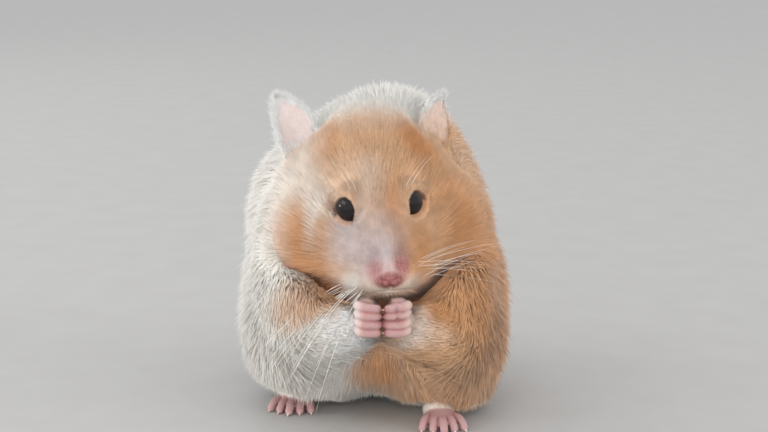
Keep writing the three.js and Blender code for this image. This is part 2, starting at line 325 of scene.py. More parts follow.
class Ear:
    """A cupped leaf of thin skin whose tip is drawn out towards the side."""

    kind, melt, size = "ear", 1.6, 22

    def __init__(self, side, s):
        self.place, self.s = EARS[side], s
        self.drawn, self.full = EAR_DRAWN[side], EAR_FULL[side]
        self.middle = self.place.point((0, 0, 7))

    def leaf(self, points):
        """How far across, how deep and how high points are on the leaf, and how near to its rim."""
        x, y, z = self.place.inward(points).T
        high = (z + EAR_SUNK) / EAR_LENGTH
        raised = np.clip(high, 0, 1)
        wide = x - self.s * self.drawn * raised**4
        fold = 0.45 * np.exp(-(((wide + self.s * 2.0) / 1.6) ** 2)) * smooth_step(0.75, 0.35, high)
        depth = y + EAR_CUP * np.clip(wide, -8, 8) ** 2 + fold
        out = np.hypot(wide / (EAR_WIDTH / 2) / (1 + self.full * raised**3), 2 * high - 1)
        return wide, depth, high, out

    def reach(self, points):
        _, depth, high, out = self.leaf(points)
        half = 0.36 + 0.5 * np.clip(0.5 - high, 0, 0.5)
        rim = 1 - 0.5 / (EAR_WIDTH / 2)
        return np.hypot(depth, np.maximum(out - rim, 0) * EAR_WIDTH / 2) - half


TIPS = [hand(side, s) for side, s in SIDES.items()] + [foot(side) for side in SIDES]
TAIL = tail()
LEAVES = [Ear(side, s) for side, s in SIDES.items()]
FRINGED = [*TIPS, TAIL, *LEAVES]  # what stands out from the bulk of the body, with short fur or none


def melted(masses, points, fill, total=None, share=1.0):
    """The reach of the skin of several masses melted together."""
    for m in masses:
        reach = m.skin_reach(points)
        total = reach if total is None else soft_min(total, reach, (m.melt + fill * m.coat) * share)
    return total


def under_chin(points, face):
    """1 in the fold between the lower edge of the face and the arms, 0 elsewhere."""
    q = HEAD.inward(points)
    return smooth_step(9, 3, face) * smooth_step(-2, -9, q[:, 1]) * smooth_step(-4, -10, q[:, 2])


def bulk_reach(points):
    """How far points are outside the bare skin of the trunk, head, arms and thighs."""
    trunk, face = melted(TRUNK, points, TRUNK_FILL), melted(FACE, points, FACE_FILL)
    total = soft_min(trunk, face, NECK_MELT + BODY_FILL * TRUNK[0].coat)
    total = melted([CHEST, *LIMBS], points, BODY_FILL, total, 1 - 0.75 * under_chin(points, face))
    for eye in EYES.values():
        near = np.linalg.norm(points - eye, axis=1) < LID_NEAR
        lid = np.linalg.norm(points[near] - eye, axis=1) - LID_BALL
        total[near] = soft_min(total[near], lid, LID_MELT)
    return total


def near_to(points, group):
    """True where points are so close to a hand, foot, tail or ear that it may shape them."""
    return np.linalg.norm(points - group.middle, axis=1) < group.size


def flesh_reach(points):
    """The same for the whole skin, with the hands, feet, tail and ears."""
    total = bulk_reach(points)
    for group in FRINGED:
        near = near_to(points, group)
        total[near] = soft_min(total[near], group.reach(points[near]), group.melt)
    return total


def slope_of(field, points, step=0.06):
    here = field(points)
    moved = [field(points + step * axis) - here for axis in np.eye(3)]
    return here, np.array(moved).T / step


def gaze(side):
    """The eye's own axes, as rows: to its side, up, and outwards."""
    s = SIDES[side]
    aside, raised = math.radians(GAZE_ASIDE), math.radians(GAZE_RAISED)
    out = unit(HEAD.turn @ np.array((s * math.sin(aside), -math.cos(aside), math.tan(raised))))
    up = HEAD.turn @ np.array((0, 0, 1.0))
    up = unit(up - (up @ out) * out)
    return np.array((np.cross(up, out), up, out))


# ------------------------------------------------------------------ the settings a user would change


def length_property(name, description, default, low, high, precision=2):
    return bpy.props.FloatProperty(
        name=name,
        description=description,
        default=default,
        min=low,
        max=high,
        precision=precision,
        unit="LENGTH",
    )


def share_property(name, description, default, low, high):
    return bpy.props.FloatProperty(
        name=name, description=description, default=default, min=low, max=high, subtype="FACTOR"
    )


class HamsterBody(bpy.types.PropertyGroup):
    """Sizes of the skin, the eyes, the claws and the whiskers."""

    skin_grain: length_property(
        "Skin Grain", "Spacing of the skin's mesh where the fur is short", 0.00036, 0.0002, 0.002, 5
    )
    eye_radius: length_property("Eye Radius", "Radius of an eyeball", 0.004, 0.002, 0.006, 4)
    claw_length: length_property(
        "Claw Length", "Length of a claw beyond the tip of its finger or toe", 0.0013, 0.0, 0.004, 4
    )
    whisker_length: length_property(
        "Whisker Length", "Length of the longest whiskers", 0.027, 0.005, 0.04, 3
    )


class HamsterCoat(bpy.types.PropertyGroup):
    """The fur's length, thickness and fall."""

    length: share_property(
        "Length", "Length of the hair, as a share of this breed's usual length", 1.0, 0.3, 1.3
    )
    fullness: share_property("Fullness", "Number of tufts, as a share of a full coat", 1.0, 0.1, 1.2)
    gathering: share_property(
        "Gathering", "How far neighbouring tufts draw together into locks", 0.08, 0.0, 1.0
    )
    seed: bpy.props.IntProperty(
        name="Seed", description="Another number gives another fall of the hair", default=7, min=0
    )


def colour_property(name, description, rgb):
    linear = tuple(((c / 255 + 0.055) / 1.055) ** 2.4 for c in rgb)
    return bpy.props.FloatVectorProperty(
        name=name, description=description, default=linear, min=0, max=1, size=3, subtype="COLOR"
    )


class HamsterColours(bpy.types.PropertyGroup):
    """Colours of the coat and of the bare skin."""

    apricot: colour_property("Apricot", "Main colour of the head and the left flank", (224, 178, 138))
    deep: colour_property("Deep Apricot", "Darker streaks of the coat", (202, 130, 64))
    cream: colour_property("Cream", "Pale right flank and belly", (245, 239, 230))
    white: colour_property("White", "Whitest fur, on the hands and the rims of the ears", (247, 244, 240))
    muzzle: colour_property("Muzzle", "Greyish fur round the nose", (214, 202, 203))
    pink: colour_property("Pink Skin", "Bare skin of the hands, feet and tail", (190, 152, 151))
    nose: colour_property("Nose", "Bare skin of the nose", (163, 108, 106))
    ear: colour_property("Ear", "Thin skin inside the ears", (228, 209, 204))


class HamsterStage(bpy.types.PropertyGroup):
    """The floor and the lamps."""

    floor_radius: length_property("Floor Radius", "Radius of the pale floor", 6.0, 0.5, 20)
    window: bpy.props.FloatProperty(
        name="Window",
        description="Power of the large soft lamp on the animal's right, in watts",
        default=2.2,
        min=0,
        max=50,
    )
    fill: bpy.props.FloatProperty(
        name="Fill",
        description="Brightness of the even light from all round",
        default=0.9,
        min=0,
        max=3,
    )


# ------------------------------------------------------------------ markings and painted shade of the skin and the coat


def mottle(points, scale, seed):
    """Soft irregular patches from -1 to 1, with a period of about `scale` mm."""
    rng = np.random.default_rng(seed)
    total = np.zeros(len(points))
    for _ in range(7):
        way = unit(rng.normal(size=3)) * rng.uniform(0.6, 1.7) * 2 * math.pi / scale
        total += np.sin(points @ way + rng.uniform(0, 2 * math.pi))
    return np.tanh(total / 2.6)


def patch(points, middle, radii, edge):
    """1 inside an ellipsoid, 0 outside it, with a soft edge that is a share of its size."""
    far = np.linalg.norm((points - np.array(middle)) / np.array(radii), axis=1)
    return smooth_step(1 + edge, 1 - edge, far)


# Patches of colour, laid one over the other in this order. Each has its colour, its middle and radii
# in millimetres, its strength and the softness of its edge. The trunk's are in the drawing's frame.
TRUNK_PATCHES = (
    ("cream", (-6, 30, 66), (24, 26, 22), 1.0, 0.45),  # hump and right of the back
    ("deep", (30, -8, 38), (14, 22, 24), 0.5, 0.45),  # left flank
    ("deep", (16, -32, 36), (11, 10, 6), 0.5, 0.45),  # left arm
    ("deep", (5, -28, 17), (5, 9, 10), 0.6, 0.45),  # belly
    ("apricot", (-16, -27, 37), (12, 13, 6.5), 0.6, 0.45),  # right arm
    ("deep", (-15, -28, 39), (9, 11, 4.5), 0.25, 0.45),
    ("white", (-9, -35, 25), (9, 9, 6), 0.9, 0.45),  # wrists
    ("white", (13, -35, 27.5), (9, 9, 5), 0.2, 0.45),
)
HEAD_PATCHES = (
    ("deep", (-13, 2, 14), (5, 9, 7), 0.45, 0.45),  # before the ears
    ("deep", (12, 0, 13), (7, 9, 7), 1.0, 0.45),
    ("deep", (20, -6, -2), (9, 12, 12), 0.75, 0.45),  # cheeks
    ("deep", (-17, -9, -8), (8, 9, 8), 0.75, 0.45),
    ("deep", (-13, -9, -17), (9, 9, 5), 0.75, 0.45),
    ("deep", (0.5, -18, 4), (4, 9, 7), 0.6, 0.6),  # bridge of the nose
    ("deep", (17, -12, -10), (10, 9, 7), 0.85, 0.45),
    ("muzzle", (-3, -22, -7.5), (5.5, 10, 6.5), 0.9, 0.45),
    ("muzzle", (-8, -15, -6), (5, 8, 7.5), 0.8, 0.5),
    ("muzzle", (-3.5, -19, -1.5), (6.5, 9, 6), 0.6, 0.6),
    ("cream", (-1.5, -20, -13), (9, 9, 4.5), 0.9, 0.5),  # lips
    ("deep", (7, -19, -7), (4, 8, 6), 0.6, 0.6),
    ("cream", (-2.5, -17, 9), (4, 9, 7), 0.25, 0.6),  # brow
    ("cream", (-6, -12, 10), (6, 9, 5), 0.2, 0.6),
    ("cream", (-16, -11, -2), (1.4, 6, 7), 0.7, 0.6),  # streak down the right cheek
)
RING_STRENGTH = {"right": 0.5, "left": 0.15}  # of the pale fur round each eye
HAND_WHITENESS = (1.0, 0.4)  # right, left


def markings_and_shade(points, colours):
    """The colour of the coat at points of the drawing, with painted shade under the lip and in the chin's
    fold.
    """
    names = ("apricot", "deep", "cream", "white", "muzzle")
    tone = {name: np.array(getattr(colours, name)) for name in names}
    wander = mottle(points, 26, 3)[:, None] * np.array((3.0, 2.0, 2.0))
    wander *= 1 + 2.2 * smooth_step(4, 24, points[:, 1])[:, None]
    p, q = points + wander, HEAD.inward(points) + wander * 0.35
    face = melted(FACE, points, FACE_FILL)
    in_head = smooth_step(2.5, -2.5, face - 3)
    off_head = 1 - in_head
    made = np.tile(tone["apricot"], (len(p), 1))

    def lay(colour, share):
        nonlocal made
        share = np.clip(share, 0, 1)[:, None]
        made = made * (1 - share) + tone[colour] * share

    def darken(share, by):
        nonlocal made
        made = made * (1 - share[:, None] * np.array(by))

    # the trunk: cream down the right flank and thigh, over the hump and under the belly
    x, y, z = p.T
    lay("cream", off_head * smooth_step(-17, -23, x + 0.2 * (y + 5)))
    lay("cream", off_head * smooth_step(76, 81, z) * smooth_step(21, 11, x))
    lay("cream", off_head * smooth_step(29, 24, z) * smooth_step(0, -5, x))
    lay("cream", off_head * smooth_step(9, 4, z) * 0.8)
    for colour, middle, radii, strength, edge in TRUNK_PATCHES:
        lay(colour, off_head * patch(p, middle, radii, edge) * strength)
    # the head, in its own frame: cream behind the crown and down the right side
    x, y, z = q.T
    lay("cream", in_head * smooth_step(14, 19, z) * smooth_step(4, 14, y) * 0.8)
    lay("cream", in_head * smooth_step(-19, -24, x))
    lay("cream", in_head * smooth_step(-8, -17, x) * smooth_step(-4, 4, z) * 0.75)
    for colour, middle, radii, strength, edge in HEAD_PATCHES:
        lay(colour, in_head * patch(q, middle, radii, edge) * strength)
    for side in SIDES:
        ring = patch(q, EYES_IN_HEAD[side] + (-0.5, -2, -0.8), (4.7, 7, 5.0), 0.3)
        far, _, angle = eye_view(points, side)
        temple = smooth_step(6.0, 4.8, far) * smooth_step(-0.25, 0.45, np.cos(angle + 1.15))
        lay("muzzle", in_head * ring * (1 - temple) * RING_STRENGTH[side])
        darken(temple, (0.36, 0.44, 0.44))
    # shade under the lip, bare skin round the nose, and shade in the fold between chin and arms
    darken(in_head * smooth_step(-15.0, -16.2, z) * smooth_step(-8, -12, y), (0.55, 0.70, 0.78))
    bare = 0.5 * bare_nose(points)[:, None]
    made = made * (1 - bare) + np.array(colours.nose) * bare
    arms = melted([CHEST, *LIMBS], points, BODY_FILL)
    fold = smooth_step(6.5, 2.5, face) * smooth_step(0.2, 1.4, face) * smooth_step(5, 1, arms)
    darken(fold * under_chin(points, face), (0.32, 0.46, 0.56))
    for leaf in LEAVES:
        near = near_to(points, leaf)
        _, _, high, _ = leaf.leaf(points[near])
        share = np.zeros(len(points))
        share[near] = smooth_step(2.5, 1.2, leaf.reach(points[near])) * smooth_step(0.15, 0.35, high)
        if leaf.s > 0:  # the left ear is white at its tip only
            share[near] *= smooth_step(0.5, 0.85, high)
        lay("white", share)
    for group, whiteness in zip(TIPS, HAND_WHITENESS):
        near = smooth_step(14, 9, np.linalg.norm(points - group.middle, axis=1))
        lay("white", near * outer_hand(points) * whiteness)
    return made


# ------------------------------------------------------------------ meshes and materials


def to_scene(points):
    return (points + SHIFT) * MM


def finished(name, mesh, material, slot, *nodes):
    """Puts a finished mesh in the scene as a piece that rides on the one body."""
    piece = bpy.data.objects.new(name, mesh)
    bpy.context.scene.collection.objects.link(piece)
    mesh.materials.clear()
    mesh.materials.append(material)
    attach(piece, "root")
    if nodes:
        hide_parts(*nodes)


def mesh_of(name, points, triangles):
    """A joined mesh of many small things, from arrays in metres."""
    mesh = bpy.data.meshes.new(name)
    mesh.vertices.add(len(points))
    mesh.vertices.foreach_set("co", np.asarray(points, np.float32).ravel())
    mesh.loops.add(triangles.size)
    mesh.loops.foreach_set("vertex_index", np.asarray(triangles, np.int32).ravel())
    mesh.polygons.add(len(triangles))
    mesh.polygons.foreach_set("loop_start", np.arange(0, triangles.size, 3, dtype=np.int32))
    mesh.update(calc_edges=True)
    mesh.shade_smooth()
    return mesh


def paint(mesh, colours):
    """Stores a colour for each vertex."""
    layer = mesh.color_attributes.new(name="coat", type="FLOAT_COLOR", domain="POINT")
    rgba = np.ones((len(colours), 4), np.float32)
    rgba[:, :3] = colours
    layer.data.foreach_set("color", rgba.ravel())


def rows_of(items, name, width, kind=np.float32):
    """One stored value of every item of a mesh, as rows."""
    flat = np.empty(len(items) * width, kind)
    items.foreach_get(name, flat)
    return flat.reshape(-1, width)


def points_of(mesh):
    return rows_of(mesh.vertices, "co", 3).astype(float)


def normals_of(mesh):
    return rows_of(mesh.vertex_normals, "vector", 3).astype(float)


def edges_of(mesh):
    return rows_of(mesh.edges, "vertices", 2, np.int32)


def triangles_of(mesh):
    mesh.calc_loop_triangles()
    return rows_of(mesh.loop_triangles, "vertices", 3, np.int32)


def new_material(name, **values):
    """A Principled material with the given values; returns it, its nodes, its links and its shader."""
    material = bpy.data.materials.new(name)
    material.use_nodes = True
    nodes = material.node_tree.nodes
    shader = nodes["Principled BSDF"]
    for key, value in values.items():
        shader.inputs[key.replace("_", " ")].default_value = value
    return material, nodes, material.node_tree.links, shader


def noise_node(nodes, links, scale, detail, coordinates):
    node = nodes.new("ShaderNodeTexNoise")
    node.inputs["Scale"].default_value = scale
    node.inputs["Detail"].default_value = detail
    links.new(coordinates, node.inputs["Vector"])
    return node


def place_in(nodes):
    return nodes.new("ShaderNodeTexCoord").outputs["Object"]


def noisy_material(name, scale, detail, low, high, **values):
    """A material whose colour wanders from `low` to `high` with noise."""
    material, nodes, links, shader = new_material(name, **values)
    noise = noise_node(nodes, links, scale, detail, place_in(nodes))
    ramp = nodes.new("ShaderNodeValToRGB")
    for element, colour in zip(ramp.color_ramp.elements, (low, high)):
        element.color = (*colour, 1)
    links.new(noise.outputs["Fac"], ramp.inputs["Fac"])
    links.new(ramp.outputs["Color"], shader.inputs["Base Color"])
    return material


def painted_base(nodes, links, shader, coordinates, scale, low, high):
    """Base colour from the stored markings, lightened and darkened by fine noise."""
    stored = nodes.new("ShaderNodeAttribute")
    stored.attribute_name = "coat"
    noise = noise_node(nodes, links, scale, 3, coordinates)
    span = nodes.new("ShaderNodeMapRange")
    span.inputs["To Min"].default_value = low
    span.inputs["To Max"].default_value = high
    links.new(noise.outputs["Fac"], span.inputs["Value"])
    mix = nodes.new("ShaderNodeMix")
    mix.data_type, mix.blend_type = "RGBA", "MULTIPLY"
    mix.inputs["Factor"].default_value = 1
    links.new(stored.outputs["Color"], mix.inputs["A"])
    links.new(span.outputs["Result"], mix.inputs["B"])
    links.new(mix.outputs["Result"], shader.inputs["Base Color"])


def fur_material():
    material, nodes, links, shader = new_material(
        "tufts", Roughness=0.62, Specular_IOR_Level=0.25, Sheen_Weight=0.4, Sheen_Roughness=0.5
    )
    painted_base(nodes, links, shader, place_in(nodes), 900, 0.9, 1.1)
    return material


def skin_material():
    material, nodes, links, shader = new_material(
        "skin",
        Roughness=0.5,
        Specular_IOR_Level=0.35,
        Subsurface_Weight=0.12,
        Subsurface_Radius=(1.0, 0.45, 0.3),
        Subsurface_Scale=0.0008,
    )
    place = place_in(nodes)
    painted_base(nodes, links, shader, place, 1400, 0.88, 1.12)
    creases = nodes.new("ShaderNodeTexVoronoi")
    creases.feature = "DISTANCE_TO_EDGE"
    creases.inputs["Scale"].default_value = 1500
    links.new(place, creases.inputs["Vector"])
    bump = nodes.new("ShaderNodeBump")
    bump.inputs["Strength"].default_value = 0.25
    bump.inputs["Distance"].default_value = 0.0002
    links.new(creases.outputs["Distance"], bump.inputs["Height"])
    links.new(bump.outputs["Normal"], shader.inputs["Normal"])
    return material


# ------------------------------------------------------------------ the skin


def made_mesh(bm, name):
    """The bmesh as a mesh; the bmesh is freed."""
    mesh = bpy.data.meshes.new(name)
    bm.to_mesh(mesh)
    bm.free()
    return mesh


def ball(bm, middle, radii, turn=None, fineness=3):
    """An ellipsoid added to a bmesh."""
    place = Matrix.Translation(Vector(middle))
    if turn is not None:
        place = place @ Matrix(turn.tolist()).to_4x4()
    place = place @ Matrix.Diagonal((*radii, 1))
    bmesh.ops.create_icosphere(bm, subdivisions=fineness, radius=1, matrix=place)


def rough_flesh():
    """A first rough skin: the bulk drawn out coarsely, with balls for rods and ears, not yet joined."""
    bm = bmesh.new()
    for m in FLESH:
        ball(bm, m.middle, m.radii - ROUGH_INSET * m.coat, m.turn, 4)
    for eye in EYES.values():
        ball(bm, eye, (ROUGH_LID_BALL,) * 3)
    bulk = made_mesh(bm, "bulk")
    for _ in range(3):
        bulk = evaluated(bulk, "REMESH", mode="VOXEL", voxel_size=ROUGH_GRAIN)
        edges, points = edges_of(bulk), points_of(bulk)
        for _ in range(3):
            points = drawn_to_skin(relaxed(points, edges), 2, bulk_reach, 2.0)
        bulk.vertices.foreach_set("co", points.astype(np.float32).ravel())
    bm = bmesh.new()
    bm.from_mesh(bulk)
    for group in [*TIPS, TAIL]:
        for m in group.base:
            ball(bm, m.middle, m.radii, m.turn)
        for path, start, end in group.rods:
            steps = len(path) - 1
            for t in np.linspace(0, 1, 16):
                i = min(int(t * steps), steps - 1)
                along = t * steps - i
                middle = path[i] * (1 - along) + path[i + 1] * along
                ball(bm, middle, (start + (end - start) * t,) * 3, None, 2)
    for leaf in LEAVES:
        made = bmesh.ops.create_icosphere(bm, subdivisions=5, radius=1)["verts"]
        for v in made:
            high = (v.co.z + 1) / 2
            wide = v.co.x * EAR_WIDTH / 2
            y = v.co.y * ROUGH_EAR_HALF - EAR_CUP * wide * wide
            local = (wide + leaf.s * ROUGH_EAR_DRAWN * high**4, y, high * EAR_LENGTH - EAR_SUNK)
            v.co = leaf.place.point(local)
    return made_mesh(bm, "rough")


def evaluated(mesh, modifier_kind, shares=None, **values):
    """The mesh after one modifier; `shares` fill the vertex group "share", in tenths."""
    holder = bpy.data.objects.new("holder", mesh)
    bpy.context.scene.collection.objects.link(holder)
    if shares is not None:
        group = holder.vertex_groups.new(name="share")
        for level in range(1, 11):
            members = np.nonzero(np.round(shares * 10) == level)[0]
            group.add(members.tolist(), level / 10, "REPLACE")
    modifier = holder.modifiers.new(modifier_kind.title(), modifier_kind)
    for key, value in values.items():
        setattr(modifier, key, value)
    depsgraph = bpy.context.evaluated_depsgraph_get()
    made = bpy.data.meshes.new_from_object(holder.evaluated_get(depsgraph))
    bpy.data.objects.remove(holder)
    return made


def relaxed(points, edges, share=0.6):
    """Every point moved towards the middle of its neighbours."""
    count = np.bincount(edges.ravel(), minlength=len(points))
    total = np.zeros_like(points)
    for k in range(3):
        total[:, k] = np.bincount(edges[:, 0], points[edges[:, 1], k], len(points))
        total[:, k] += np.bincount(edges[:, 1], points[edges[:, 0], k], len(points))
    return points + share * (total / np.maximum(count, 1)[:, None] - points)


def drawn_to_skin(points, rounds, field=flesh_reach, stride=1.2):
    """Points moved along the slope of the flesh until they lie on the skin."""
    for _ in range(rounds):
        here, slope = slope_of(field, points)
        size = np.maximum((slope * slope).sum(1), LEAST_SLOPE)
        step = np.clip(here / size, -stride, stride)
        points = points - slope * step[:, None]
    return points


def lid_edge(angle):
    """How many degrees from the gaze the lids open: an egg, its corner low and towards the nose."""
    corner = np.exp(-((np.degrees(np.angle(np.exp(1j * (angle - math.radians(228))))) / 26) ** 2))
    return 57.5 - 2.5 * np.cos(2 * angle) + 6 * corner


def eye_view(points, side):
    """A point's distance from the eye's middle, its angle from the gaze and its angle round it."""
    local = (points - EYES[side]) @ gaze(side).T
    local[:, 0] *= SIDES[side]  # the nose is on the negative side for both eyes
    far = np.linalg.norm(local, axis=1)
    off = np.degrees(np.arccos(np.clip(local[:, 2] / np.maximum(far, 1e-6), -1, 1)))
    return far, off, np.arctan2(local[:, 1], local[:, 0])


def open_lids(points, eye_radius):
    """Sinks the skin behind each eyeball inside the lids, and lifts a thin rim round the opening."""
    for side in SIDES:
        far, off, angle = eye_view(points, side)
        edge = lid_edge(angle)
        near = (far < 7) & (off < 100)
        inside = smooth_step(edge + 2.5, edge - 3.5, off)
        rim = np.exp(-(((off - edge - 4) / 5) ** 2))
        outside = np.maximum(far, eye_radius + LID_THICKNESS + LID_RIM * rim)
        wanted = outside * (1 - inside) + (eye_radius - SOCKET_DEPTH) * inside
        blend = np.where(near, smooth_step(7.0, 5.4, far), 0)
        away = unit(points - EYES[side])
        points = points + away * ((wanted - far) * blend)[:, None]
    return points


def carve_face(points):
    """Presses in the nostrils, the groove under the nose and the line of the mouth."""
    q = HEAD.inward(points)
    x, y, z = q.T
    front = smooth_step(-17, -21, y)
    nose_x, _, nose_z = NOSE_AT
    dip = np.zeros(len(q))
    for s in SIDES.values():
        across = x - nose_x - s * 1.35
        high = z - nose_z + 0.15 - 0.35 * s * (x - nose_x - s)
        nostril = np.hypot(across / 0.75, high / 0.5)
        dip += 0.75 * np.exp(-(nostril**2)) * front
    below = smooth_step(nose_z - 0.8, nose_z - 1.8, z) * smooth_step(-16.5, -14.5, z)
    dip += 0.7 * np.exp(-(((x - nose_x) / 0.55) ** 2)) * below * front
    mouth_z = -14.8 - 0.08 * np.abs(x - nose_x)
    line = np.exp(-(((z - mouth_z) / 0.7) ** 2))
    dip += 0.8 * line * smooth_step(8, 5, np.abs(x)) * smooth_step(-8, -13, y)
    inward = HEAD.turn @ np.array((0, 1.0, 0.1))
    return points + dip[:, None] * inward


def outer_hand(points):
    """1 over the furred backs of the hands, 0 over the bare fingers that meet in the middle."""
    return smooth_step(4.6, 7.2, np.abs(points[:, 0] - HANDS_MEET_AT))


DARK_EAR = (0.93, 0.82, 0.72)  # the left ear beside the right one


def skin_colours(points, colours):
    """Markings of the coat, pink where the skin is bare, and painted shade in creases and where the hands
    meet.
    """
    made = markings_and_shade(points, colours)
    for group in [*TIPS, TAIL]:
        near = near_to(points, group)
        reaches = group.reaches(points[near])
        share = smooth_step(0.9, 0.15, reaches[:, group.furred :].min(1))[:, None]
        ordered = np.sort(reaches[:, len(group.base) :], axis=1)
        tone = np.tile(np.array(colours.pink), (near.sum(), 1))
        if ordered.shape[1] > 1:
            # painted shade: the creases between neighbouring fingers or toes are darker and redder
            crease_shade = np.exp(-np.maximum(ordered[:, 1], 0) / 0.4)[:, None]
            tone = tone * (1 - crease_shade * np.array((0.32, 0.6, 0.6)))
        if group.kind == "hand":
            share = share * (1 - 0.45 * outer_hand(points[near]))[:, None]
            # painted shade: the skin is darker and redder where the two hands meet
            gap_shade = np.exp(-(((points[near, 0] - HANDS_MEET_AT) / 1.0) ** 2))[:, None]
            tone = tone * (1 - gap_shade * np.array((0.4, 0.65, 0.65)))
        made[near] = made[near] * (1 - share) + tone * share
    for leaf in LEAVES:
        near = near_to(points, leaf)
        _, _, high, _ = leaf.leaf(points[near])
        share = smooth_step(0.9, 0.2, leaf.reach(points[near])) * smooth_step(0.12, 0.3, high)
        share = share[:, None]
        tone = np.array(colours.ear) * ((1, 1, 1) if leaf.s < 0 else DARK_EAR)
        made[near] = made[near] * (1 - share) + tone * share
    bare = bare_nose(points)[:, None]
    nose = np.array(colours.nose) * (1 + 0.3 * mottle(points, 1.1, 5)[:, None])
    made = made * (1 - bare) + nose * bare
    for side in SIDES:
        far, off, angle = eye_view(points, side)
        rim = (smooth_step(5, 1, np.abs(off - lid_edge(angle) + 0.5)) * smooth_step(6, 5, far))[:, None]
        made = made * (1 - rim * 0.85) + np.array(colours.nose) * 0.16 * rim * 0.85
    return np.clip(made, 0, 1)


def bare_nose(points):
    """How bare the skin is at and above the nose: a pad, and two thin lobes that rise beside it."""
    q = HEAD.inward(points)
    x, y, z = NOSE_AT
    share = patch(q, (x, y - 2.0, z - 0.2), (4.3, 4.4, 2.8), 0.35)
    for s, high, tall, strength in ((-1, 2.2, 3.8, 0.75), (1, 3.4, 4.8, 1.0), (0, 1.6, 3.4, 0.4)):
        lobe = patch(q, (x + s * 3.5, y + 1.2, z + high), (2.5, 5, tall), 0.6)
        share = np.maximum(share, lobe * strength)
    return share


SKIN_FACES = 185000
LONG_FUR = (2.5, 5.5)  # between these lengths of hair the skin's mesh turns coarser
FLESH_NODES = [
    f"{part}_{side}" for part in ("foreleg", "hind_leg", "hand", "hind_foot", "ear") for side in SIDES
] + ["head", "trunk", "tail", "nose"]


def skin_piece():
    found = bpy.data.objects.get("skin")
    if found is None:
        raise RuntimeError("there is no skin yet: build it before the coat")
    return found


def thinned(mesh):
    """The mesh with fewer faces under the long fur."""
    return evaluated(
        mesh,
        "DECIMATE",
        smooth_step(*LONG_FUR, Growth(points_of(mesh)).length),
        ratio=min(1.0, SKIN_FACES / (2 * len(mesh.polygons))),
        vertex_group="share",
        vertex_group_factor=4,
        use_collapse_triangulate=True,
    )


class HAMSTER_OT_skin(bpy.types.Operator):
    """Model the one skin that lies under the coat, with lids, nostrils, mouth, fingers, toes and ears"""

    bl_idname = "hamster.skin"
    bl_label = "Skin"

    def execute(self, context):
        body = context.scene.hamster_body
        grain = body.skin_grain / MM
        mesh = thinned(evaluated(rough_flesh(), "REMESH", mode="VOXEL", voxel_size=grain))
        mesh.name = "skin"
        edges = edges_of(mesh)
        points = drawn_to_skin(points_of(mesh), 2)
        for _ in range(2):
            points = drawn_to_skin(relaxed(points, edges), 1)
        points = open_lids(points, body.eye_radius / MM)
        points = carve_face(points)
        points[:, 2] = np.maximum(points[:, 2], SKIN_LOW)
        mesh.vertices.foreach_set("co", to_scene(points).astype(np.float32).ravel())
        paint(mesh, skin_colours(points, context.scene.hamster_colours))
        mesh.shade_smooth()
        finished("skin", mesh, skin_material(), "pink_skin", *FLESH_NODES)
        return {"FINISHED"}


FUR_BLEND = 1.1  # distance over which one kind of fur turns into the next
UNREACHED = 99.0  # too far away to matter


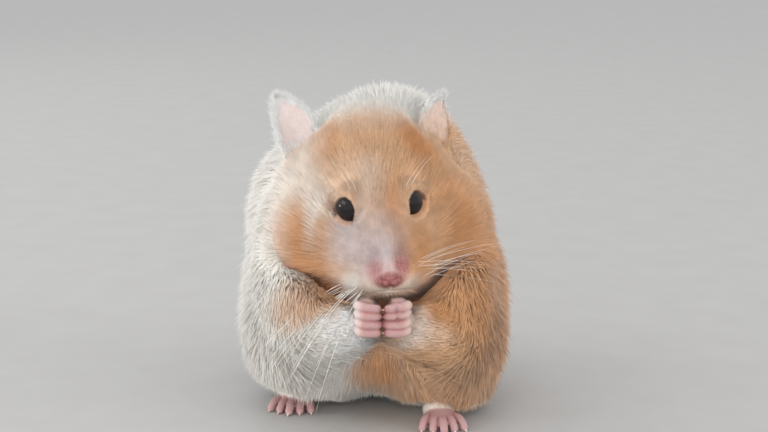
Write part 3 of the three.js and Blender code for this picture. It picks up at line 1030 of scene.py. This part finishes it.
class Growth:
    """How the fur grows at points of the skin: its length, width, density, lifts and combing."""

    def __init__(self, points):
        reaches, kinds, flows = [], [], []

        def add(reach, kind, flow):
            reaches.append(reach)
            kinds.append(FUR[kind])
            flows.append(np.broadcast_to(flow, (len(points), 3)))

        for m in FLESH:
            add(m.skin_reach(points), m.kind, unit(m.way(points)))
        for group in [*TIPS, TAIL]:
            near = near_to(points, group)
            columns = np.full((len(points), len(group.base) + len(group.rods)), UNREACHED)
            columns[near] = group.reaches(points[near])
            for i, column in enumerate(columns.T):
                add(column, group.kind if i < len(group.base) else "bare", group.direction)
        for leaf in LEAVES:
            near = near_to(points, leaf)
            column = np.full(len(points), UNREACHED)
            column[near] = leaf.reach(points[near])
            add(column, "ear", unit(leaf.place.turn @ np.array((leaf.s * 0.35, 0, 1.0))))
        reaches = np.array(reaches).T
        weights = np.exp(-(reaches - reaches.min(1, keepdims=True)) / FUR_BLEND)
        weights /= weights.sum(1, keepdims=True)
        table = weights @ np.array(kinds, float)
        self.length, self.width, self.density, self.lift_root, self.lift_tip = table.T
        self.flow = sum(w[:, None] * f for w, f in zip(weights.T, flows))
        self.trim(points)

    def trim(self, points):
        """Shorter hair round the eyes, on the nose and inside the ears, and none on the eyeballs."""
        for side in SIDES:
            far, off, angle = eye_view(points, side)
            beyond = np.where(far < 9, (off - lid_edge(angle)) / 14, 9) + np.maximum(far - 5, 0)
            self.length *= 0.4 + 0.6 * smooth_step(0, 4, beyond)
            self.width *= 0.7 + 0.3 * smooth_step(0, 4, beyond)
            self.density *= 1 + 1.2 * smooth_step(4, 1, beyond)
            self.density *= np.where((far < 6.5) & (off < lid_edge(angle) + 1), 0, 1)
        # the ruff: long hair stands up in the fold between head and trunk
        face, trunk = melted(FACE, points, FACE_FILL), melted(TRUNK, points, TRUNK_FILL)
        ruff = smooth_step(8, 1.5, np.maximum(face, trunk))
        self.length *= 1 + 0.5 * ruff
        self.lift_root += 7 * ruff
        q = HEAD.inward(points)
        from_nose = np.linalg.norm((q - np.array(NOSE_AT) + (0, 2.5, 0)) / (1.1, 1.0, 0.9), axis=1)
        self.length *= 0.4 + 0.6 * smooth_step(2, 12, from_nose)
        self.width *= 0.65 + 0.35 * smooth_step(2, 12, from_nose)
        self.density *= 1 - 0.55 * bare_nose(points)
        for leaf in LEAVES:
            near = near_to(points, leaf)
            _, depth, high, out = leaf.leaf(points[near])
            close = smooth_step(1.2, 0.6, leaf.reach(points[near])) * smooth_step(0.2, 0.4, high)
            inner = smooth_step(0.1, -0.2, depth) * smooth_step(0.93, 0.7, out) * close
            fringe = smooth_step(0.78, 0.95, out) * close
            self.density[near] *= (1 - 0.93 * inner) * (1 + 0.9 * fringe)
            self.length[near] *= 1 + 0.9 * fringe + 0.2 * inner
        above_foot = TIPS[2].middle + (0, 3, 4)
        self.length *= 0.45 + 0.55 * smooth_step(8, 17, np.linalg.norm(points - above_foot, axis=1))
        self.density *= smooth_step(0.1, 0.8, points[:, 2])
        self.length *= near_floor(points)


# ------------------------------------------------------------------ the coat


FRINGE_DEPTH = 0.3  # a hand, foot, tail or ear owns the coat within this reach


def region_of(points):
    """The name of the coat piece that each point of the skin belongs to."""
    nearest = np.array([m.skin_reach(points) for m in FLESH]).argmin(0)
    groups = np.array([(m in FACE) * 1 + (m in LIMBS) * 2 + (m is CHEST) * 3 for m in FLESH])[nearest]
    q = HEAD.inward(points)
    x, y, z = BODY.inward(points).T
    names = np.full(len(points), "flank_right", dtype=object)
    names[x > 0] = "flank_left"
    names[y > 22] = "back_right"
    names[(y > 22) & (x > 0)] = "back_left"
    names[z > 66] = "hump"
    names[groups == 3] = "chest"
    names[(groups == 2) & (points[:, 0] <= HANDS_MEET_AT)] = "limbs_right"
    names[(groups == 2) & (points[:, 0] > HANDS_MEET_AT)] = "limbs_left"
    names[groups == 1] = "cheeks"
    names[(groups == 1) & (q[:, 2] > 5)] = "crown"
    names[(groups == 1) & (q[:, 1] < -11)] = "face"
    for group in FRINGED:
        near = np.nonzero(near_to(points, group))[0]
        names[near[group.reach(points[near]) < FRINGE_DEPTH]] = "fringe"
    return names


BODY_MIDDLE = BODY.point((-2, 8, 40))
# Each region's label, the middles that its flat map is spread round, the spacing of its locks, and
# the places along its tufts that have a ring of their own: short hair is straight.
STRAIGHT, BENT = (0.0,), (0.0, 0.52)
REGIONS = {
    "face": ("Face", [HEAD.at], 1.0, STRAIGHT),
    "crown": ("Crown", [HEAD.at], 1.7, STRAIGHT),
    "cheeks": ("Cheeks", [HEAD.at], 2.0, BENT),
    "hump": ("Hump", [BODY_MIDDLE], 2.2, BENT),
    "flank_right": ("Right Flank", [BODY_MIDDLE], 2.4, BENT),
    "flank_left": ("Left Flank", [BODY_MIDDLE], 2.4, BENT),
    "back_right": ("Right Back", [BODY_MIDDLE], 2.4, BENT),
    "back_left": ("Left Back", [BODY_MIDDLE], 2.4, BENT),
    "chest": ("Chest", [BODY_MIDDLE], 2.0, BENT),
    "limbs_right": ("Right Limbs", [LIMBS[0].middle, LIMBS[2].middle, LIMBS[3].middle], 1.9, BENT),
    "limbs_left": ("Left Limbs", [LIMBS[1].middle, LIMBS[4].middle, LIMBS[5].middle], 1.9, BENT),
    "fringe": ("Ears, Hands and Feet", [group.middle for group in FRINGED], 0.7, STRAIGHT),
}


def unwrapped(points, middles):
    """A flat map of the skin: angles round the nearest of some middles, each in a cell of its own."""
    flat = np.zeros((len(points), 2))
    nearest = np.linalg.norm(points[:, None] - np.array(middles)[None], axis=2).argmin(1)
    cells = math.ceil(math.sqrt(len(middles)))
    for i, middle in enumerate(middles):
        mine = nearest == i
        if not mine.any():
            continue
        out = unit(points[mine] - middle)
        ahead = unit(out.mean(0))
        pole = np.array((0, 1.0, 0)) if abs(ahead[2]) > 0.8 else np.array((0, 0, 1.0))
        pole = unit(pole - (pole @ ahead) * ahead)
        side = np.cross(pole, ahead)
        round_pole, high = np.arctan2(out @ side, out @ ahead), np.arcsin(np.clip(out @ pole, -1, 1))
        angles = np.stack((round_pole, high), 1)
        low, high = angles.min(0), angles.max(0)
        spread = 0.01 + 0.97 * (angles - low) / np.maximum(high - low, 1e-6)
        flat[mine] = (spread + (i % cells, i // cells)) / cells
    return flat


def scatter(mesh_points, triangles, density, wanted, rng):
    """Roots spread over triangles by area and density: the triangle and the share of each corner."""
    a, b, c = (mesh_points[triangles[:, k]] for k in range(3))
    area = np.linalg.norm(np.cross(b - a, c - a), axis=1) / 2
    weight = area * density[triangles].mean(1)
    count = int(weight.sum() * wanted)
    # even steps through the summed weight keep the roots evenly spread
    order = np.lexsort((a[:, 0], np.round(a[:, 1] / 1.5), np.round(a[:, 2] / 1.5)))
    summed = np.cumsum(weight[order])
    steps = (np.arange(count) + rng.uniform(0, 1, count)) / count * summed[-1]
    chosen = order[np.minimum(np.searchsorted(summed, steps), len(order) - 1)]
    u, v = rng.uniform(0, 1, (2, count))
    fold = u + v > 1
    u[fold], v[fold] = 1 - u[fold], 1 - v[fold]
    return chosen, np.stack((1 - u - v, u, v), axis=1)


def gathered(roots, tips, spacing, rng):
    """For each tuft, the tip and the root of the lock that it leans to."""
    order = rng.permutation(len(roots))
    roots_mixed = roots[order]
    _, first = np.unique(np.floor(roots_mixed / spacing).astype(int), axis=0, return_index=True)
    leaders = order[first]
    tree = kdtree.KDTree(len(leaders))
    for i, leader in enumerate(leaders):
        tree.insert(roots[leader], i)
    tree.balance()
    nearest = leaders[np.array([tree.find(root)[1] for root in roots])]
    return tips[nearest], roots[nearest]


ROOT_DEPTH = 0.25  # how far below the skin a tuft starts
STRAY_SHARE, STRAY_LIFT = 0.06, 13  # the few hairs that stand off the coat, and by how many degrees
BAKE_WIDTH, BAKE_HEIGHT = 0.0015, 0.003  # of a tuft's patch in the flat map
# How much tufts differ: swing to the side, lift in degrees at root and tip, twist and tone.
SWING, ROOT_WANDER, TIP_WANDER, TWIST, TONE_WANDER = 0.13, 4, 5, 0.5, 0.042
LENGTHS, WIDTHS = (0.78, 1.1), (0.75, 1.25)  # least and most, as shares
LOCK_ROOT, LOCK_TIP, LEAN_LIMIT = 0.35, 0.65, 0.45  # shares of the way to a lock, and of the length


def tufts(name, root, normal, facing, flow, length, width, lift_root, lift_tip, colour, context, rng):
    """One joined mesh of tufts: slim three-sided blades that rise from the skin and bend over."""
    coat = context.scene.hamster_coat
    count = len(root)
    flow = unit(flow - (flow * normal).sum(1, keepdims=True) * normal)
    side = np.cross(flow, normal)
    swing = rng.normal(0, SWING, count)[:, None]
    flow = unit(flow + side * swing)
    lift_root = np.radians(lift_root + rng.normal(0, ROOT_WANDER, count))[:, None]
    stray = STRAY_LIFT * (rng.uniform(0, 1, count) < STRAY_SHARE)
    lift_tip = np.radians(lift_tip + stray + rng.normal(0, TIP_WANDER, count))[:, None]
    start = flow * np.cos(lift_root) + normal * np.sin(lift_root)
    end = flow * np.cos(lift_tip) + normal * np.sin(lift_tip)
    long = (length * rng.uniform(*LENGTHS, count))[:, None]
    base = root - normal * ROOT_DEPTH
    tips = base + long * (start + end) / 2
    lock_tip, lock_root = gathered(root, tips, REGIONS[name][2], rng)
    lean = (lock_tip - lock_root) * LOCK_ROOT + lock_tip * LOCK_TIP
    lean = lean - (tips - root) * LOCK_ROOT - tips * LOCK_TIP
    lean = lean * (coat.gathering * rng.uniform(0.5, 1.0, count))[:, None]
    limit = LEAN_LIMIT * long
    lean *= np.minimum(1, limit / np.maximum(np.linalg.norm(lean, axis=1, keepdims=True), 1e-6))
    steps = REGIONS[name][3]
    widths = (0.8, 0.9) if steps == BENT else (1.1,)
    rings, shades, turns = [], [], []
    spin = rng.normal(0, TWIST, count)[:, None]
    half = (width * rng.uniform(*WIDTHS, count))[:, None] / 2
    for t, share in zip(steps, widths):
        middle = base + long * (t * start + t * t / 2 * (end - start)) + lean * t * t
        ahead = unit(start + t * (end - start))
        across = unit(np.cross(ahead, normal))
        up = np.cross(across, ahead)
        turned = across * np.cos(spin) + up * np.sin(spin)
        up = up * np.cos(spin) - across * np.sin(spin)
        across = turned
        rings += [middle - across * half * share, middle + across * half * share]
        rings.append(middle + up * half * share * 0.8)
        soft = unit(facing + up * 0.25)
        turns += [unit(soft - across * 0.15), unit(soft + across * 0.15), soft]
        shades += [t] * 3
    rings.append(base + long * (start + end) / 2 + lean)
    turns.append(unit(facing * 0.8 + end * 0.3))
    shades.append(1.0)
    points = np.stack(rings, axis=1)
    turns = np.stack(turns, axis=1)
    points[:, :, 2] = np.maximum(points[:, :, 2], COAT_LOW)
    each = points.shape[1]
    pattern = [(0, 1, 2)]
    for r in range(len(steps) - 1):
        for k in range(3):
            a, b = 3 * r + k, 3 * r + (k + 1) % 3
            pattern += [(a, a + 3, b), (b, a + 3, b + 3)]
    last = 3 * (len(steps) - 1)
    pattern += [(last + k, each - 1, last + (k + 1) % 3) for k in range(3)]
    pattern = np.array(pattern)
    triangles = (np.arange(count)[:, None, None] * each + pattern).reshape(-1, 3)
    mesh = mesh_of("coat_" + name, to_scene(points.reshape(-1, 3)), triangles)
    shade = np.array(shades)
    # painted shade: each tuft is darker at its root and lighter towards its tip
    tone = 0.96 + 0.09 * shade
    vary = rng.normal(1, TONE_WANDER, (count, 1, 1))
    paint(mesh, np.clip(colour[:, None, :] * tone[None, :, None] * vary, 0, 0.97).reshape(-1, 3))
    mesh.normals_split_custom_set_from_vertices(turns.reshape(-1, 3).tolist())
    # the map for baked colours: each tuft a small patch at its root's place
    flat = unwrapped(root, REGIONS[name][1])
    across = np.array([(-1, 1, 0)[k % 3] for k in range(each - 1)] + [0.0]) * BAKE_WIDTH
    offset = np.stack((across, shade * BAKE_HEIGHT), axis=1)
    corner = (flat[:, None, :] + offset[None]).reshape(-1, 2)[triangles.ravel()]
    layer = mesh.uv_layers.new(name="OFBake")
    layer.data.foreach_set("uv", corner.astype(np.float32).ravel())
    return mesh


class HAMSTER_OT_coat(bpy.types.Operator):
    """Grow one region of the coat on the skin, as solid tufts that follow the lie of the fur"""

    bl_idname = "hamster.coat"
    bl_label = "Coat"

    region: bpy.props.EnumProperty(
        name="Region",
        description="The part of the animal that this piece of coat covers",
        items=[(key, values[0], "Fur of the " + values[0].lower()) for key, values in REGIONS.items()],
        default="face",
    )

    def execute(self, context):
        grown = grown_skin()
        coat = context.scene.hamster_coat
        rng = np.random.default_rng(coat.seed + 101 * list(REGIONS).index(self.region))
        mine = grown["triangles"][grown["region"] == self.region]
        if not len(mine):
            raise RuntimeError(f"the skin has no {self.region}")
        growth, points, normals = grown["growth"], grown["points"], grown["normals"]
        chosen, share = scatter(points, mine, growth.density, coat.fullness, rng)
        corners = mine[chosen]

        def at_root(values):
            values = values if values.ndim > 1 else values[:, None]
            mixed = (values[corners] * share[:, :, None]).sum(1)
            return mixed if mixed.shape[1] > 1 else mixed[:, 0]

        root = at_root(points)
        colour = markings_and_shade(root, context.scene.hamster_colours)
        colour = colour * (1 + 0.10 * mottle(root, 5.5, 11) + 0.05 * mottle(root, 2.2, 12))[:, None]
        mesh = tufts(
            self.region,
            root,
            unit(at_root(normals)),
            unit(at_root(grown["facing"])),
            at_root(growth.flow),
            at_root(growth.length) * coat.length,
            at_root(growth.width),
            at_root(growth.lift_root),
            at_root(growth.lift_tip),
            colour,
            context,
            rng,
        )
        material = bpy.data.materials.get("tufts") or fur_material()
        finished("coat_" + self.region, mesh, material, "apricot_fur")
        print("coat", self.region, len(root), "tufts", len(mesh.polygons), "triangles")
        return {"FINISHED"}


def grown_skin():
    """The skin's points, normals, triangles and growth, worked out once."""
    skin = skin_piece()
    if skin.name not in _grown:
        points = points_of(skin.data) / MM - SHIFT
        triangles = triangles_of(skin.data)
        normals = normals_of(skin.data)
        facing = normals.copy()
        for leaf in LEAVES:
            towards = leaf.place.turn @ np.array((-0.3, -0.8, 0.5))
            thin = smooth_step(2.5, 1.0, leaf.reach(points))
            facing += 1.6 * (thin * near_to(points, leaf))[:, None] * towards
        _grown[skin.name] = {
            "points": points,
            "normals": normals,
            "facing": unit(facing),
            "triangles": triangles,
            "growth": Growth(points),
            "region": region_of(points[triangles].mean(1)),
        }
    return _grown[skin.name]


_grown = {}

# ------------------------------------------------------------------ eyes, claws and whiskers


def eye_material():
    dark, lighter = (0.004, 0.003, 0.003), (0.010, 0.006, 0.005)
    return noisy_material("wet_eye", 500, 2, dark, lighter, Roughness=0.05, Specular_IOR_Level=0.42)


CORNEA_BULGE = 0.035  # share of the radius


class HAMSTER_OT_eyes(bpy.types.Operator):
    """Model the two glossy black eyeballs"""

    bl_idname = "hamster.eyes"
    bl_label = "Eyes"

    def execute(self, context):
        radius = context.scene.hamster_body.eye_radius
        material = eye_material()
        for side in SIDES:
            bm = bmesh.new()
            middle = Vector(to_scene(EYES[side]))
            place = Matrix.Translation(middle)
            bmesh.ops.create_icosphere(bm, subdivisions=5, radius=radius, matrix=place)
            # the clear front of the eye bulges a little
            out = Vector(gaze(side)[2])
            for v in bm.verts:
                ahead = max((v.co - middle).normalized().dot(out), 0)
                v.co += (v.co - middle) * CORNEA_BULGE * ahead**4
            mesh = made_mesh(bm, "eye_" + side)
            mesh.shade_smooth()
            finished("eyeball_" + side, mesh, material, "black_eye", "eye_" + side)
        return {"FINISHED"}


def strands(paths, radii, around=5):
    """Joined tapering rods along paths: points and triangles. Each path and its radii are arrays."""
    points, triangles, done = [], [], 0
    turn = np.arange(around) / around * 2 * math.pi
    for path, radius in zip(paths, radii):
        ahead = unit(np.gradient(path, axis=0))
        side = unit(np.cross(ahead, (0.31, 0.22, 0.92)))
        up = np.cross(side, ahead)
        ring = side[:, None] * np.cos(turn)[None, :, None] + up[:, None] * np.sin(turn)[None, :, None]
        points.append((path[:, None] + ring * radius[:, None, None]).reshape(-1, 3))
        points.append(np.array((path[0], path[-1])))
        steps = len(path)
        for i in range(steps - 1):
            for k in range(around):
                a, b = done + i * around + k, done + i * around + (k + 1) % around
                triangles += [(a, b, a + around), (b, b + around, a + around)]
        low, high = done + steps * around, done + steps * around + 1
        for k in range(around):
            a, b = done + k, done + (k + 1) % around
            triangles.append((low, b, a))
            end = (steps - 1) * around
            triangles.append((high, a + end, b + end))
        done = high + 1
    return np.concatenate(points), np.array(triangles)


def outward(mesh):
    """Turns every face of a closed mesh outwards."""
    bm = bmesh.new()
    bm.from_mesh(mesh)
    bmesh.ops.recalc_face_normals(bm, faces=bm.faces)
    bm.to_mesh(mesh)
    bm.free()


def horn_material():
    dark, lighter = (0.60, 0.42, 0.34), (0.82, 0.70, 0.60)
    return noisy_material("horn", 700, 2, dark, lighter, Roughness=0.35, Specular_IOR_Level=0.4)


CLAW_STEPS = 7


class HAMSTER_OT_claws(bpy.types.Operator):
    """Model a small curved claw on every finger and toe"""

    bl_idname = "hamster.claws"
    bl_label = "Claws"

    def execute(self, context):
        length = context.scene.hamster_body.claw_length / MM
        paths, radii = [], []
        for group in TIPS:
            for path, _, end in group.rods:
                ahead = unit(path[-1] - path[-3])
                on_foot = group.kind == "foot"
                down = np.array((0, 0, -1.0)) if on_foot else np.array((0, 0.6, -0.5))
                start = path[-1] + ahead * end * 0.35 + np.array((0, 0, 0.28)) * on_foot
                t = np.linspace(0, 1, CLAW_STEPS)[:, None]
                reach = length * (1 if on_foot else 0.4) + 0.9
                claw = start + ahead * reach * t + down * 0.45 * length * t * t
                claw[:, 2] = np.maximum(claw[:, 2], CLAW_LOW)
                paths.append(claw)
                radii.append(0.34 * (1 - np.linspace(0, 1, CLAW_STEPS) ** 1.6) + 0.04)
        points, triangles = strands(paths, radii, 7)
        mesh = mesh_of("claws", to_scene(points), triangles)
        outward(mesh)
        finished("claws", mesh, horn_material(), "pink_skin")
        return {"FINISHED"}


def whisker_material():
    dark, lighter = (0.80, 0.72, 0.62), (0.95, 0.92, 0.88)
    return noisy_material("whisker", 300, 2, dark, lighter, Roughness=0.35, Specular_IOR_Level=0.5)


# How far up the muzzle each side's whiskers start and spread, their length and their thickness.
WHISKER_ROWS = {"right": (-15.2, 3.6, 1.0, 0.14), "left": (-12.8, 6.5, 0.72, 0.07)}
WHISKERS, WHISKER_STEPS = 14, 14
GOLDEN = 0.618  # steps of this share spread the roots evenly
BROW_WHISKERS, BROW_THICKNESS = 2, 0.07


class HAMSTER_OT_whiskers(bpy.types.Operator):
    """Model the long whiskers of the muzzle and the few over the eyes"""

    bl_idname = "hamster.whiskers"
    bl_label = "Whiskers"

    def execute(self, context):
        longest = context.scene.hamster_body.whisker_length / MM
        rng = np.random.default_rng(21)
        paths, radii = [], []

        def grow(root, way, sag, length, thick):
            t = np.linspace(0, 1, WHISKER_STEPS)[:, None]
            way = unit(np.array(way, float))
            path = root + way * length * t + np.array(sag) * length * t**2
            paths.append(path)
            radii.append(thick * (1 - 0.85 * np.linspace(0, 1, WHISKER_STEPS)))

        for side, s in SIDES.items():
            low, tall, share, thick = WHISKER_ROWS[side]
            for i in range(WHISKERS):
                t = (i * GOLDEN) % 1  # 0 is the lowest and foremost, 1 the highest and hindmost
                back = -22.5 + 5.5 * t + rng.normal(0, 0.5)
                at = (s * (6.2 + 3.4 * t), back, low + tall * rng.uniform(0, 1))
                root, out = on_skin(HEAD.point(at))
                if side == "right":
                    way = (-0.42 - 0.40 * t, -0.50 + 0.35 * t, -0.32 + 0.10 * t)
                    sag = (0.0, 0.05, -0.62 + 0.30 * t)
                else:
                    way = (0.85, -0.40 + 0.35 * t, 0.55 * rng.uniform(-0.15, 1.0))
                    sag = (0.05, 0.10, -0.12)
                size = longest * share * rng.uniform(0.7, 1.1)
                way = np.array(way) + rng.normal(0, 0.05, 3)
                grow(root - 0.3 * out, way, sag, size, thick)
            for k in range(BROW_WHISKERS):
                root, _ = on_skin(HEAD.point((s * (6.5 + 2 * k), -12, 10 + k)))
                way = HEAD.turn @ np.array((s * 0.25, -0.25, 1))
                grow(root, way, (s * 0.2, 0.5, -0.1), longest * 0.5, BROW_THICKNESS)
        points, triangles = strands(paths, radii, 4)
        mesh = mesh_of("whiskers", to_scene(points), triangles)
        outward(mesh)
        finished("whiskers", mesh, whisker_material(), "cream_fur")
        return {"FINISHED"}


def on_skin(point):
    """The nearest point of the skin, and the way out of it."""
    point = np.array(point, float)[None]
    for _ in range(8):
        here, slope = slope_of(flesh_reach, point)
        point = point - slope * (here / np.maximum((slope * slope).sum(1), LEAST_SLOPE))[:, None]
    return point[0], unit(slope[0])


# ------------------------------------------------------------------ the stage


FLOOR_SIDES = 96


class HAMSTER_OT_stage(bpy.types.Operator):
    """Set the floor, the lamps and the camera"""

    bl_idname = "hamster.stage"
    bl_label = "Stage"

    def execute(self, context):
        scene = context.scene
        stage = scene.hamster_stage
        bm = bmesh.new()
        bmesh.ops.create_circle(bm, cap_ends=True, segments=FLOOR_SIDES, radius=stage.floor_radius)
        mesh = made_mesh(bm, "floor")
        floor = bpy.data.objects.new("floor", mesh)
        scene.collection.objects.link(floor)
        dark, lighter = (0.46, 0.450, 0.438), (0.52, 0.512, 0.503)
        material = noisy_material(
            "pale_floor", 60, 6, dark, lighter, Roughness=0.6, Specular_IOR_Level=0.3
        )
        mesh.materials.append(material)

        aim = Vector((0, 0, 0.045))
        lamps = (
            # name, place, width, share of the window's power, colour
            ("window", (-0.75, -0.25, 0.70), 0.8, 0.7, (1.0, 0.985, 0.96)),
            ("window_behind", (-0.55, 0.75, 0.65), 0.7, 0.4, (1.0, 0.99, 0.97)),
            ("low_left", (-0.62, -0.78, 0.06), 0.6, 1.65, (1.0, 0.99, 0.98)),
            ("low_front", (-0.20, -1.05, 0.10), 0.5, 0.7, (1.0, 0.985, 0.97)),
            ("low_right", (0.95, -0.35, 0.22), 0.6, 1.4, (1.0, 0.98, 0.95)),
            ("glint", (-1.1, 0.08, 0.30), 0.30, 0.5, (1.0, 1.0, 1.0)),
        )
        for name, at, size, share, colour in lamps:
            lamp = bpy.data.lights.new(name, "AREA")
            lamp.shape, lamp.size, lamp.size_y = "RECTANGLE", size, size * 0.45
            lamp.energy, lamp.color = stage.window * share, colour
            holder = bpy.data.objects.new(name, lamp)
            holder.location = at
            holder.rotation_euler = (aim - Vector(at)).to_track_quat("-Z", "Y").to_euler()
            holder.visible_glossy = not name.startswith("low")
            scene.collection.objects.link(holder)

        world = bpy.data.worlds.new("even_light")
        world.use_nodes = True
        background = world.node_tree.nodes["Background"]
        background.inputs["Color"].default_value = (0.97, 0.985, 1.0, 1)
        background.inputs["Strength"].default_value = stage.fill
        scene.world = world

        camera = bpy.data.cameras.new("camera")
        camera.sensor_width = 36
        camera.lens = camera.sensor_width * FOCAL_LENGTH / IMAGE_WIDTH
        camera.clip_start, camera.clip_end = 0.02, 30
        holder = bpy.data.objects.new("camera", camera)
        holder.location = to_scene(np.array(CAMERA_AT))
        holder.rotation_euler = (math.radians(90 - CAMERA_DOWN), 0, 0)
        scene.collection.objects.link(holder)
        scene.camera = holder
        scene.view_settings.view_transform = "Standard"
        return {"FINISHED"}


class HAMSTER_PT_sidebar(bpy.types.Panel):
    """Lists the steps of the build and the settings they read"""

    bl_idname = "HAMSTER_PT_sidebar"
    bl_label = "Sitting Hamster"
    bl_space_type = "VIEW_3D"
    bl_region_type = "UI"
    bl_category = "Hamster"

    def draw(self, context):
        layout = self.layout
        for settings in ("hamster_body", "hamster_coat", "hamster_colours", "hamster_stage"):
            box = layout.box()
            group = getattr(context.scene, settings)
            for name in group.__annotations__:
                box.prop(group, name)
        for step in ("skin", "eyes", "claws", "whiskers", "stage"):
            layout.operator("hamster." + step)
        for key in REGIONS:
            layout.operator("hamster.coat", text=REGIONS[key][0]).region = key


SETTINGS = {
    "hamster_body": HamsterBody,
    "hamster_coat": HamsterCoat,
    "hamster_colours": HamsterColours,
    "hamster_stage": HamsterStage,
}
CLASSES = (
    *SETTINGS.values(),
    HAMSTER_OT_skin,
    HAMSTER_OT_eyes,
    HAMSTER_OT_claws,
    HAMSTER_OT_whiskers,
    HAMSTER_OT_coat,
    HAMSTER_OT_stage,
    HAMSTER_PT_sidebar,
)


def register():
    for cls in CLASSES:
        bpy.utils.register_class(cls)
    for name, group in SETTINGS.items():
        setattr(bpy.types.Scene, name, bpy.props.PointerProperty(type=group))


def unregister():
    for name in SETTINGS:
        delattr(bpy.types.Scene, name)
    for cls in reversed(CLASSES):
        bpy.utils.unregister_class(cls)


def main():
    register()
    bpy.ops.hamster.skin()
    bpy.ops.hamster.eyes()
    bpy.ops.hamster.claws()
    bpy.ops.hamster.whiskers()
    for region in REGIONS:
        bpy.ops.hamster.coat(region=region)
    bpy.ops.hamster.stage()


if __name__ == "__main__":
    main()
